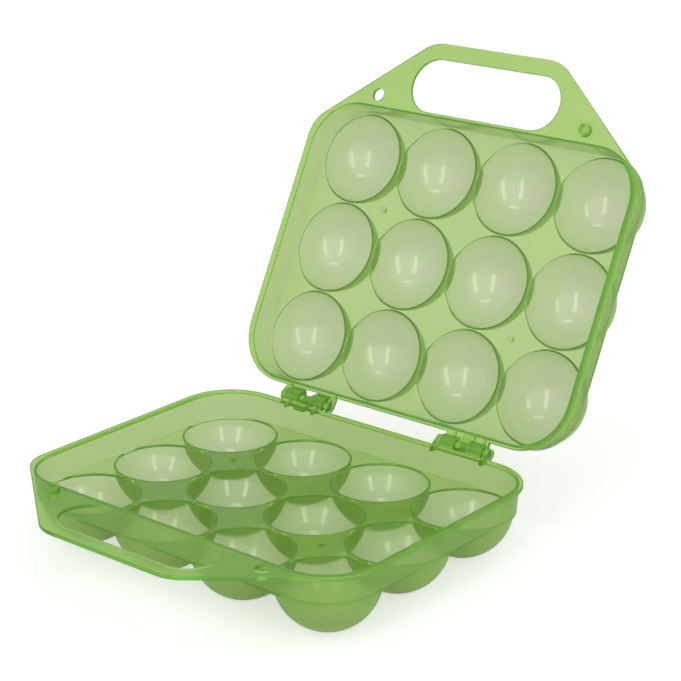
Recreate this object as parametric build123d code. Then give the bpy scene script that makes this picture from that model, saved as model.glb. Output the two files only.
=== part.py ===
from build123d import *
import os
from math import atan, cos, degrees, pi, radians, sin, sqrt

# Egg keeper for twelve eggs: two copies of one self-mating moulding, a base and a flip lid, snapped
# together at two hinges. Millimetres, +Z up. The moulding is drawn in its own frame: X along the
# hinges, Y from the handle (-Y) to the hinges (+Y), Z = 0 at the rim plane where the halves meet.

# ---- cups ----
columns = 4
rows = 3
cup_radius = 23.9             # inside of the spherical cup
cup_gap = 2.2                 # between the insides of neighbouring cups, both ways
cup_wall = 1.1                # at the mouth; the wall thins towards the bottom
cup_floor = 0.75              # wall at the bottom
cup_rise = 1.3                # centre of the sphere above the deck's upper face
lip_radius = 0.7              # rounding where a cup meets the deck
foot_radius = 3.5             # flat disc under each cup that the keeper stands on

# ---- tray around the cups ----
tray_depth = 14.3             # rim plane down to the deck's upper face
deck_thickness = 1.4
wall_thickness = 1.3
wall_lean = 1.0               # how far the wall comes in between rim and deck, for release
side_gap = 1.6                # outer cup to the inside of the side wall, at the rim
end_gap = 2.2                 # outer cup to the inside of the front or back wall, at the rim
deck_edge_radius = 0.7        # rounding under the wall
rim_edge_radius = 0.45        # rounding of the rim's inner edge

# ---- rim flange and handle, one flat plate ----
plate_thickness = 2.0
flange_side = 3.5             # reach of the flange past the inside of the side wall
flange_back = 2.5             # reach of the flange past the inside of the back wall
plate_edge_radius = 0.5
shoulder_setback = 12.6       # front wall's inside back to where the handle's sloping edge starts
shoulder_radius = 18.0
grip_length = 92.4            # hand slot
grip_width = 28.8
grip_to_wall = 2.2            # front wall's inside to the hand slot
grip_edge = 8.6               # strip of plate in front of the hand slot
handle_taper = 6.4            # slot's end in to the sharp corner of the handle's front edge
handle_corner_radius = 20.0

# ---- closing peg and its hole ----
peg_to_grip = 19.5            # hand slot's end out to the peg's centre
peg_to_wall = 6.9             # front wall's inside to the peg's centre
peg_radius = 3.3
peg_wall = 1.1
peg_height = 3.0
peg_floor = 0.8
peg_hole_clearance = 0.2

# ---- moulding pips on the deck ----
pip_radius = 1.5
pip_height = 1.0

# ---- hinges ----
rim_gap = 0.3                 # between the two rim planes when the keeper is shut
open_angle = 117.3            # lid's turn from shut to its stop
hinge_x = 51.0                # hinge centre, out from the middle
hinge_reach = 5.4             # flange's back edge to the hinge axis
bar_radius = 2.2
bar_clearance = 0.08
ear_spacing = 30.0            # between the middles of the two ears
ear_thickness = 2.0
ear_radius = 3.0
root_depth = 3.5              # ears and ribs run this far down the wall
hook_radius = 4.1
hook_grip = 0.9               # how far a hook reaches past the middle of the bar
tab_side_gap = 1.15           # tab to ear
over_hook_start = 3.8         # hinge centre to the inner side of an over hook
under_hook_width = 6.6
rib_offset = 9.0
rib_thickness = 1.4
stop_clearance = 0.08         # hook corner to the other half's flange, fully open

# ---- worked out from the above ----
pitch = 2 * cup_radius + cup_gap
tray_corner_radius = cup_radius + side_gap
half_width = (columns - 1) / 2 * pitch + cup_radius + side_gap
half_length = (rows - 1) / 2 * pitch + cup_radius + end_gap
deck_top = -tray_depth
deck_bottom = deck_top - deck_thickness
lean_angle = degrees(atan(wall_lean / tray_depth))
cup_centre_z = deck_top + cup_rise
cup_hollow_centre_z = cup_centre_z - (cup_wall - cup_floor)
cup_outer_radius = cup_radius + cup_wall
foot_z = cup_centre_z - sqrt(cup_outer_radius**2 - foot_radius**2)
flange_half_width = half_width + flange_side
flange_back_y = half_length + flange_back
flange_corner_radius = tray_corner_radius + (flange_side + flange_back) / 2
shoulder_y = shoulder_setback - half_length
grip_y = -(half_length + grip_to_wall + grip_width / 2)
handle_end_y = grip_y - grip_width / 2 - grip_edge
handle_end_half_width = grip_length / 2 - handle_taper
peg_x = grip_length / 2 + peg_to_grip
peg_y = -(half_length + peg_to_wall)
peg_hole_radius = peg_radius + peg_hole_clearance
axis_y = flange_back_y + hinge_reach
axis_z = rim_gap / 2
bore_radius = bar_radius + bar_clearance
wall_root_y = half_length + wall_thickness / 2
tab_half_width = ear_spacing / 2 - ear_thickness / 2 - tab_side_gap
# The back upper corner of an over hook stops the other half's flange edge at the open angle.
stop_corner_angle = 45.0
stop_lag = 180.0 - open_angle - stop_corner_angle
stop_corner = (hinge_reach - stop_clearance) / cos(radians(stop_lag)) / sqrt(2)


def cup_places():
    """Centres of the cups on the deck."""
    return GridLocations(pitch, pitch, columns, rows)


def prism_down(half_x, half_y, corner, top, depth):
    """Rounded block from top downwards, leaning in like the tray's wall."""
    outline = Pos(0, 0, top) * RectangleRounded(2 * half_x, 2 * half_y, corner)
    return extrude(outline, amount=-depth, taper=lean_angle)


def tray_block():
    """Solid block with the tray's outer shape."""
    block = prism_down(
        half_width + wall_thickness,
        half_length + wall_thickness,
        tray_corner_radius + wall_thickness,
        0,
        tray_depth + deck_thickness,
    )
    return fillet(block.faces().sort_by(Axis.Z)[0].edges(), deck_edge_radius)


def tray_hollow():
    """Space inside the wall, above the deck."""
    return prism_down(half_width, half_length, tray_corner_radius, 0, tray_depth)


def rim_plate():
    """Flat plate of the rim flange and the handle, with the hand slot and the peg's hole."""
    outline = Polyline(
        (-flange_half_width, flange_back_y),
        (-flange_half_width, shoulder_y),
        (-handle_end_half_width, handle_end_y),
        (handle_end_half_width, handle_end_y),
        (flange_half_width, shoulder_y),
        (flange_half_width, flange_back_y),
        close=True,
    )
    face = make_face(outline)
    face = fillet(face.vertices().group_by(Axis.Y)[1], shoulder_radius)
    face = fillet(face.vertices().group_by(Axis.Y)[0], handle_corner_radius)
    face = fillet(face.vertices().group_by(Axis.Y)[-1], flange_corner_radius)
    face -= Pos(0, grip_y) * SlotOverall(grip_length, grip_width)
    plate = extrude(face, amount=-plate_thickness)
    plate = fillet(plate.faces().filter_by(Axis.Z).edges(), plate_edge_radius)
    hole = Cylinder(peg_hole_radius, 2 * plate_thickness)
    return plate - Pos(peg_x, peg_y, -plate_thickness / 2) * hole


def cup_outside():
    """Outer bowl of one cup, up to the middle of the deck, with its flat foot."""
    top_z = (deck_top + deck_bottom) / 2
    top_radius = sqrt(cup_outer_radius**2 - (cup_centre_z - top_z) ** 2)
    foot_edge = (foot_radius, foot_z)
    side = (cup_outer_radius * cos(pi / 4), cup_centre_z - cup_outer_radius * sin(pi / 4))
    top_edge = (top_radius, top_z)
    bowl = ThreePointArc(foot_edge, side, top_edge)
    profile = make_face([bowl, Polyline(top_edge, (0, top_z), (0, foot_z), foot_edge)])
    return revolve(Plane.XZ * profile, Axis.Z)


def cup_inside():
    """Hollow of one cup, with the rounded lip at the deck."""
    lip_drop = cup_hollow_centre_z - (deck_top - lip_radius)
    mouth_radius = sqrt(cup_radius**2 - lip_drop**2)
    bottom = (0, cup_hollow_centre_z - cup_radius)
    side = (cup_radius * cos(pi / 4), cup_hollow_centre_z - cup_radius * sin(pi / 4))
    lip_inner = (mouth_radius, deck_top - lip_radius)
    lip_outer = (mouth_radius + lip_radius, deck_top)
    bowl = ThreePointArc(bottom, side, lip_inner)
    lip = TangentArc(lip_outer, lip_inner, tangent=(-1, 0))
    profile = make_face([bowl, lip, Polyline(lip_outer, (0, deck_top), bottom)])
    return revolve(Plane.XZ * profile, Axis.Z)


def peg():
    """Hollow closing peg on the handle."""
    top_down = (Align.CENTER, Align.CENTER, Align.MAX)
    shank = Cylinder(peg_radius, peg_height + plate_thickness / 2, align=top_down)
    bore = Cylinder(peg_radius - peg_wall, peg_height - peg_floor, align=top_down)
    return Pos(-peg_x, peg_y, peg_height) * (shank - bore)


def along_hinge(profile, centre, width):
    """A profile drawn about the hinge axis (x to the back, y up), made width wide about centre."""
    plane = Plane(origin=(centre - width / 2, axis_y, axis_z), x_dir=(0, 1, 0), z_dir=(1, 0, 0))
    return extrude(plane * profile, amount=width)


def rectangle_between(low_y, high_y, low_z, high_z):
    """Rectangle on the hinge's cross-section, given by its sides."""
    return Pos((low_y + high_y) / 2, (low_z + high_z) / 2) * Rectangle(high_y - low_y, high_z - low_z)


def hinge_eye():
    """Two ears with the hinge bar between them."""
    wall_y = wall_root_y - axis_y
    root = rectangle_between(wall_y, -hinge_reach, -axis_z - root_depth, -axis_z)
    neck_start = rectangle_between(-hinge_reach, -ear_radius, -axis_z - root_depth, -axis_z)
    ear = root + make_hull((Circle(ear_radius) + neck_start).edges())
    eye = along_hinge(Circle(bar_radius), hinge_x, ear_spacing)
    for side in (-1, 1):
        eye += along_hinge(ear, hinge_x + side * ear_spacing / 2, ear_thickness)
    return eye


def hinge_tab():
    """Tab with two hooks over the other half's bar and one under it."""
    wall_y = wall_root_y - axis_y
    plate = rectangle_between(wall_y, -bar_radius, -axis_z - plate_thickness, -axis_z)
    rib = rectangle_between(wall_y, -bar_radius, -axis_z - root_depth, -axis_z)
    ring = Circle(hook_radius)
    stop_block = rectangle_between(0, stop_corner, 0, stop_corner)
    over = (ring + stop_block) & rectangle_between(-hook_radius, stop_corner, -hook_grip, hook_radius)
    under = ring & rectangle_between(-hook_radius, hook_radius, -hook_radius, hook_grip)
    over_width = tab_half_width - over_hook_start
    tab = along_hinge(plate, -hinge_x, 2 * tab_half_width)
    tab += along_hinge(rib + under, -hinge_x, under_hook_width)
    for side in (-1, 1):
        tab += along_hinge(over, -hinge_x + side * (over_hook_start + over_width / 2), over_width)
        tab += along_hinge(rib, -hinge_x + side * rib_offset, rib_thickness)
    return tab - along_hinge(Circle(bore_radius), -hinge_x, ear_spacing)


def moulding():
    """One half of the keeper, rim plane at Z = 0, cups hanging below it."""
    half = tray_block() + rim_plate()
    half -= tray_hollow()
    rim_face = half.faces().filter_by(Plane.XY).sort_by(Axis.Z)[-1]
    half = fillet(rim_face.inner_wires().sort_by(SortBy.LENGTH)[-1].edges(), rim_edge_radius)
    half += [place * cup_outside() for place in cup_places()]
    half -= [place * cup_inside() for place in cup_places()]
    for side in (-1, 1):
        pip = Cylinder(pip_radius, pip_height)
        half += Pos(side * pitch, -side * pitch / 2, deck_top + pip_height / 2) * pip
    return half + peg() + hinge_eye() + hinge_tab()


def turned_about_hinge(half, angle):
    """A half turned about the hinge axis; a positive angle lowers its handle."""
    to_axis = Pos(0, axis_y, axis_z)
    return to_axis * Rot(angle, 0, 0) * to_axis.inverse() * half


half = moulding()
shut_lid = Pos(0, 0, axis_z) * Rot(0, 180, 0) * Pos(0, 0, -axis_z) * half
open_lid = turned_about_hinge(shut_lid, -open_angle)

# The keeper stands open, with the origin on the table under the middle of its outline.
outline = Compound([half, open_lid]).bounding_box()
to_origin = Pos(-outline.center().X, -outline.center().Y, -outline.min.Z)
nodes = {"base_tray": to_origin * half, "lid_tray": to_origin * open_lid}

os.makedirs("parts", exist_ok=True)
for name, solid in nodes.items():
    export_step(solid, f"parts/{name}.step")
    print(name, "valid", solid.is_valid, "volume", round(solid.volume), solid.bounding_box())

# Places that the record needs, in the frame of the parts.
shift = to_origin.position
print("origin shift", shift)
print("hinge axis", axis_y + shift.Y, axis_z + shift.Z)
print("cup centre height", cup_centre_z + shift.Z, "deck", deck_top + shift.Z, "rim", shift.Z)
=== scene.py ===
from math import cos, radians, sin
import bpy
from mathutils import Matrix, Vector

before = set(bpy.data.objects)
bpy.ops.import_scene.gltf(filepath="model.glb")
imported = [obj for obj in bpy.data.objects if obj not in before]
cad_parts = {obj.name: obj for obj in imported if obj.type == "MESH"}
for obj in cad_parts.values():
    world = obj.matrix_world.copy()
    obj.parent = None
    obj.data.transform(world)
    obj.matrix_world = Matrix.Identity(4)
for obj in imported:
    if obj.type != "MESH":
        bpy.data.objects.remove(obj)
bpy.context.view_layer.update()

# Egg keeper with flip lid, standing open. Both halves are one see-through yellow-green plastic.
# The halves have their true wall thicknesses, so the plastic takes its tint from the depth of wall.

# ---- camera, fitted to the hinge, rim and cup outlines ----
CAMERA_PLACE = (0.6136, -0.7264, 0.4260)
CAMERA_AZIMUTH = 39.56        # degrees, 0 looks along +Y
CAMERA_DOWN = 19.13           # degrees below level
CAMERA_FOCAL_MM = 110.2
SENSOR_MM = 36.0

# ---- tinted plastic ----
ABSORBED_PER_MM = (0.24, 0.055, 0.54)
CLEAR_TINT = (0.83, 0.69, 0.82)
BODY_COLOUR = (0.37, 0.74, 0.12)
MILKY_OUTSIDE = 0.36          # share of the light that meets the body colour on an outer face
MILKY_INSIDE = 0.10           # and where it meets a face from within the wall
GLOSS_ROUGHNESS = 0.12
GLOSS_SPREAD = 0.4            # how far the roughness varies either way, as a share
BLOTCH_SPREAD = 0.12          # and the body colour
BLOTCH_SCALE = 22.0
BLOTCH_DETAIL = 4.0
PLASTIC_IOR = 1.49
MM_PER_M = 1000

# ---- studio ----
LID_CENTRE = Vector((0.0, 0.1, 0.12))
FLOOR_HALF_SIZE = 6.0
FLOOR_WHITE = 0.72
FLOOR_GLOW = 0.52
WORLD_FILL = 0.68             # light from all round
MIRRORED_FILL = 0.40          # what glossy surfaces mirror, away from the soft boxes
MIRRORED_GLOW = 1.2           # added to that around the direction of the soft boxes
GLOW_AZIMUTH = 37.6
GLOW_ELEVATION = 18.0
GLOW_FALLOFF = 2.0            # power of the cosine away from that direction
MAX_BOUNCES = 32

# name: azimuth, lower and upper elevation (degrees), distance, width, height (m), watts
SOFT_BOXES = {
    "soft_box_right": (61.6, -6, 43, 1.1, 0.18, 0.95, 1.7),
    "soft_box_left": (13.6, -6, 43, 1.1, 0.18, 0.95, 1.7),
    "soft_box_top": (31.0, 63, 69, 1.2, 0.45, 0.14, 0.7),
}


def add_node(tree, kind, **inputs):
    """A shader node with its unlinked inputs set by name, underscores standing for spaces."""
    node = tree.nodes.new(kind)
    for name, value in inputs.items():
        node.inputs[name.replace("_", " ")].default_value = value
    return node


def seen_through(tree):
    """1 for camera and transmission rays, 0 for the mirrored and diffuse rays."""
    path = tree.nodes.new("ShaderNodeLightPath")
    larger = tree.nodes.new("ShaderNodeMath")
    larger.operation = "MAXIMUM"
    tree.links.new(path.outputs["Is Camera Ray"], larger.inputs[0])
    tree.links.new(path.outputs["Is Transmission Ray"], larger.inputs[1])
    return larger.outputs[0]


def tinted_plastic():
    """Glossy, slightly milky yellow-green plastic with its tint in the depth of the wall."""
    material = bpy.data.materials.new("tinted_plastic")
    material.use_nodes = True
    tree = material.node_tree
    output = tree.nodes["Material Output"]
    clear = tree.nodes["Principled BSDF"]
    clear.inputs["Base Color"].default_value = (*CLEAR_TINT, 1)
    clear.inputs["Transmission Weight"].default_value = 1.0
    clear.inputs["IOR"].default_value = PLASTIC_IOR
    milky = add_node(tree, "ShaderNodeBsdfPrincipled", IOR=PLASTIC_IOR)

    place = tree.nodes.new("ShaderNodeTexCoord")
    flow = add_node(tree, "ShaderNodeTexNoise", Scale=BLOTCH_SCALE, Detail=BLOTCH_DETAIL)
    tree.links.new(place.outputs["Object"], flow.inputs["Vector"])
    tint = tree.nodes.new("ShaderNodeMix")
    tint.data_type = "RGBA"
    for end, level in (("A", 1 - BLOTCH_SPREAD), ("B", 1 + BLOTCH_SPREAD)):
        tint.inputs[end].default_value = (*[level * part for part in BODY_COLOUR], 1)
    tree.links.new(flow.outputs["Fac"], tint.inputs["Factor"])
    tree.links.new(tint.outputs["Result"], milky.inputs["Base Color"])

    haze = add_node(
        tree,
        "ShaderNodeMapRange",
        To_Min=(1 - GLOSS_SPREAD) * GLOSS_ROUGHNESS,
        To_Max=(1 + GLOSS_SPREAD) * GLOSS_ROUGHNESS,
    )
    tree.links.new(flow.outputs["Fac"], haze.inputs["Value"])
    for shader in (clear, milky):
        tree.links.new(haze.outputs["Result"], shader.inputs["Roughness"])

    inward = tree.nodes.new("ShaderNodeBsdfTranslucent")
    tree.links.new(tint.outputs["Result"], inward.inputs["Color"])
    side = tree.nodes.new("ShaderNodeNewGeometry")
    cloud = tree.nodes.new("ShaderNodeMixShader")
    tree.links.new(side.outputs["Backfacing"], cloud.inputs["Fac"])
    tree.links.new(milky.outputs[0], cloud.inputs[1])
    tree.links.new(inward.outputs[0], cloud.inputs[2])

    share = add_node(tree, "ShaderNodeMapRange", To_Min=MILKY_OUTSIDE, To_Max=MILKY_INSIDE)
    tree.links.new(side.outputs["Backfacing"], share.inputs["Value"])
    both = tree.nodes.new("ShaderNodeMixShader")
    tree.links.new(share.outputs["Result"], both.inputs["Fac"])
    tree.links.new(clear.outputs[0], both.inputs[1])
    tree.links.new(cloud.outputs[0], both.inputs[2])
    tree.links.new(both.outputs[0], output.inputs["Surface"])

    depth = MM_PER_M * max(ABSORBED_PER_MM)
    passed = [1 - part / max(ABSORBED_PER_MM) for part in ABSORBED_PER_MM]
    inside = add_node(tree, "ShaderNodeVolumeAbsorption", Color=(*passed, 1), Density=depth)
    tree.links.new(inside.outputs["Volume"], output.inputs["Volume"])
    return material


def white_floor():
    """Large white floor that looks white and keeps the object's soft shadow."""
    side = FLOOR_HALF_SIZE
    mesh = bpy.data.meshes.new("floor")
    corners = [(-side, -side, 0), (side, -side, 0), (side, side, 0), (-side, side, 0)]
    mesh.from_pydata(corners, [], [(0, 1, 2, 3)])
    floor = bpy.data.objects.new("floor", mesh)
    bpy.context.collection.objects.link(floor)

    material = bpy.data.materials.new("floor_white")
    material.use_nodes = True
    tree = material.node_tree
    tree.nodes.remove(tree.nodes["Principled BSDF"])
    paint = add_node(tree, "ShaderNodeBsdfDiffuse", Color=(FLOOR_WHITE, FLOOR_WHITE, FLOOR_WHITE, 1))
    glow = tree.nodes.new("ShaderNodeEmission")
    scaled = tree.nodes.new("ShaderNodeMath")
    scaled.operation = "MULTIPLY"
    scaled.inputs[1].default_value = FLOOR_GLOW
    tree.links.new(seen_through(tree), scaled.inputs[0])
    tree.links.new(scaled.outputs[0], glow.inputs["Strength"])
    both = tree.nodes.new("ShaderNodeAddShader")
    tree.links.new(paint.outputs[0], both.inputs[0])
    tree.links.new(glow.outputs[0], both.inputs[1])
    tree.links.new(both.outputs[0], tree.nodes["Material Output"].inputs["Surface"])
    mesh.materials.append(material)


def towards(azimuth, elevation):
    """Unit vector from the keeper at an azimuth (0 along -Y, turning to +X) and an elevation."""
    level = cos(radians(elevation))
    across, back = sin(radians(azimuth)) * level, -cos(radians(azimuth)) * level
    return Vector((across, back, sin(radians(elevation))))


def studio_world():
    """White surroundings: full white where seen, softer as fill light and in reflections."""
    world = bpy.data.worlds.new("studio")
    bpy.context.scene.world = world
    world.use_nodes = True
    tree = world.node_tree
    light = tree.nodes["Background"]
    light.inputs["Color"].default_value = (1, 1, 1, 1)

    ray = tree.nodes.new("ShaderNodeTexCoord")
    facing = tree.nodes.new("ShaderNodeVectorMath")
    facing.operation = "DOT_PRODUCT"
    facing.inputs[1].default_value = towards(GLOW_AZIMUTH, GLOW_ELEVATION)
    tree.links.new(ray.outputs["Generated"], facing.inputs[0])
    ahead = tree.nodes.new("ShaderNodeMath")
    ahead.operation = "MAXIMUM"
    ahead.inputs[1].default_value = 0.0
    tree.links.new(facing.outputs["Value"], ahead.inputs[0])
    lobe = tree.nodes.new("ShaderNodeMath")
    lobe.operation = "POWER"
    lobe.inputs[1].default_value = GLOW_FALLOFF
    tree.links.new(ahead.outputs[0], lobe.inputs[0])
    mirrored = add_node(
        tree,
        "ShaderNodeMapRange",
        To_Min=MIRRORED_FILL,
        To_Max=MIRRORED_FILL + MIRRORED_GLOW,
    )
    tree.links.new(lobe.outputs[0], mirrored.inputs["Value"])

    path = tree.nodes.new("ShaderNodeLightPath")
    unseen = add_node(tree, "ShaderNodeMapRange", To_Min=WORLD_FILL)
    tree.links.new(path.outputs["Is Glossy Ray"], unseen.inputs["Value"])
    tree.links.new(mirrored.outputs["Result"], unseen.inputs["To Max"])
    strength = add_node(tree, "ShaderNodeMapRange", To_Max=1.0)
    tree.links.new(unseen.outputs["Result"], strength.inputs["To Min"])
    tree.links.new(seen_through(tree), strength.inputs["Value"])
    tree.links.new(strength.outputs["Result"], light.inputs["Strength"])


def lamp(name, azimuth, low, high, distance, width, height, watts):
    """Soft box seen from the lid at an azimuth, centred between two elevations."""
    away = towards(azimuth, (low + high) / 2)
    light = bpy.data.lights.new(name, "AREA")
    light.shape = "RECTANGLE"
    light.size = width
    light.size_y = height
    light.energy = watts
    holder = bpy.data.objects.new(name, light)
    bpy.context.collection.objects.link(holder)
    holder.location = LID_CENTRE + distance * away
    holder.rotation_euler = (-away).to_track_quat("-Z", "Y").to_euler()
    holder.visible_camera = False


def studio_camera():
    """The camera of the reference view."""
    camera = bpy.data.cameras.new("camera")
    camera.sensor_width = SENSOR_MM
    camera.lens = CAMERA_FOCAL_MM
    holder = bpy.data.objects.new("camera", camera)
    bpy.context.collection.objects.link(holder)
    holder.location = CAMERA_PLACE
    holder.rotation_euler = (radians(90 - CAMERA_DOWN), 0, radians(CAMERA_AZIMUTH))
    bpy.context.scene.camera = holder


plastic = tinted_plastic()
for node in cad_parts.values():
    for place in node.material_slots:
        place.material = plastic

white_floor()
studio_world()
for name, settings in SOFT_BOXES.items():
    lamp(name, *settings)
studio_camera()

scene = bpy.context.scene
scene.view_settings.view_transform = "Standard"
scene.cycles.max_bounces = MAX_BOUNCES
scene.cycles.transmission_bounces = MAX_BOUNCES
scene.cycles.transparent_max_bounces = MAX_BOUNCES
